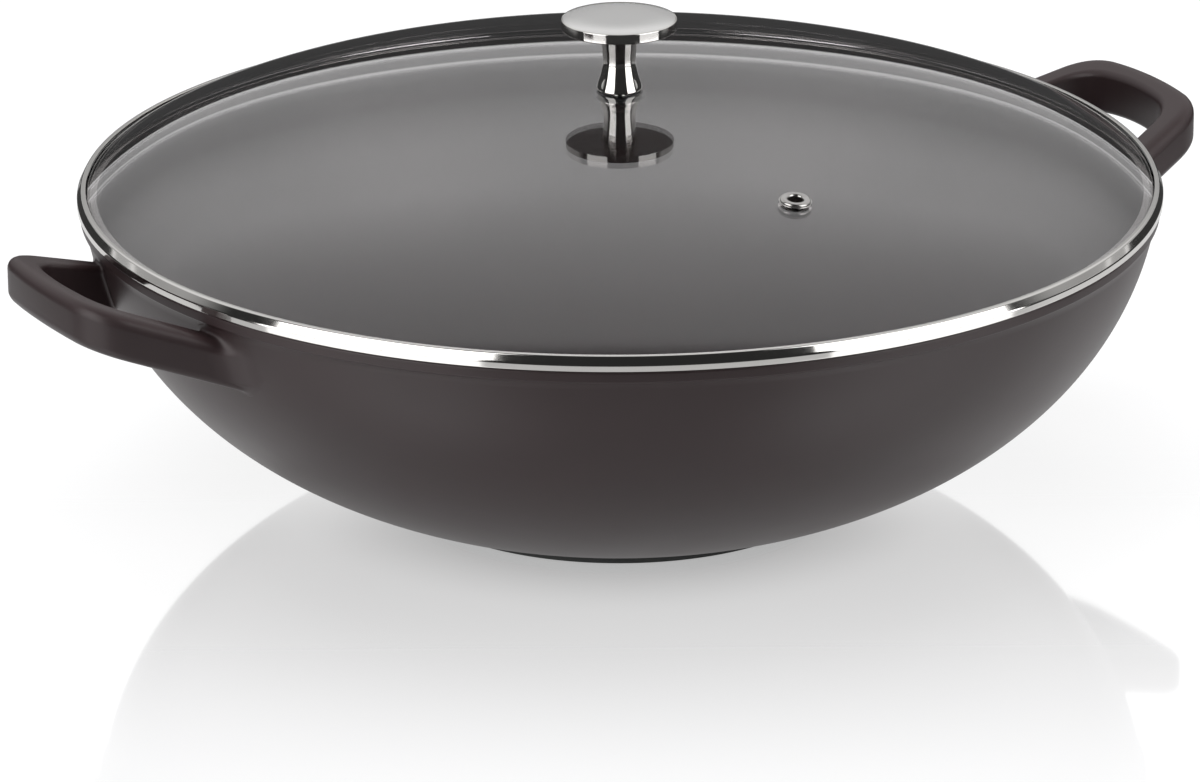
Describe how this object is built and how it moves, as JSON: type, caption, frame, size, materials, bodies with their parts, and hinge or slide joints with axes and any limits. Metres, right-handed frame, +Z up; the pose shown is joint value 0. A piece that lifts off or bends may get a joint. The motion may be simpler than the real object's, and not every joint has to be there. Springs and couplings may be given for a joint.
{
  "type": "lidded wok",
  "caption": "Round-bottomed cast iron wok with a flat foot and loop handles cast in one, closed by a domed glass lid with a steel rim band, mushroom knob and steam vent.",
  "frame": {"origin": "centre of the underside of the foot disc, on the surface that the wok stands on", "axes": "+X along the line through both handles, +Z up along the axis of the bowl and lid"},
  "size_m": [0.4288, 0.36, 0.1651],
  "materials": {
    "cast_iron": "matt black-brown enamel",
    "lid_glass": "clear",
    "polished_steel": "polished",
    "satin_steel": "satin",
    "silicone": "matt"
  },
  "bodies": {
    "wok": {"wok_casting": "cast_iron"},
    "lid": {"lid_glass": "lid_glass", "lid_rim_band": "polished_steel", "lid_edge_seal": "silicone", "knob_stem": "polished_steel", "knob_cap": "satin_steel", "knob_upper_washer": "silicone", "knob_lower_washer": "silicone", "knob_steel_washer": "polished_steel", "knob_screw": "polished_steel", "vent_eyelet": "polished_steel", "vent_upper_washer": "polished_steel", "vent_lower_washer": "polished_steel"}
  },
  "joints": [
    {"name": "lid_lift", "type": "slide", "parent": "wok", "child": "lid", "axis": [0, 0, 1], "range_m": [0, 0.15]}
  ]
}
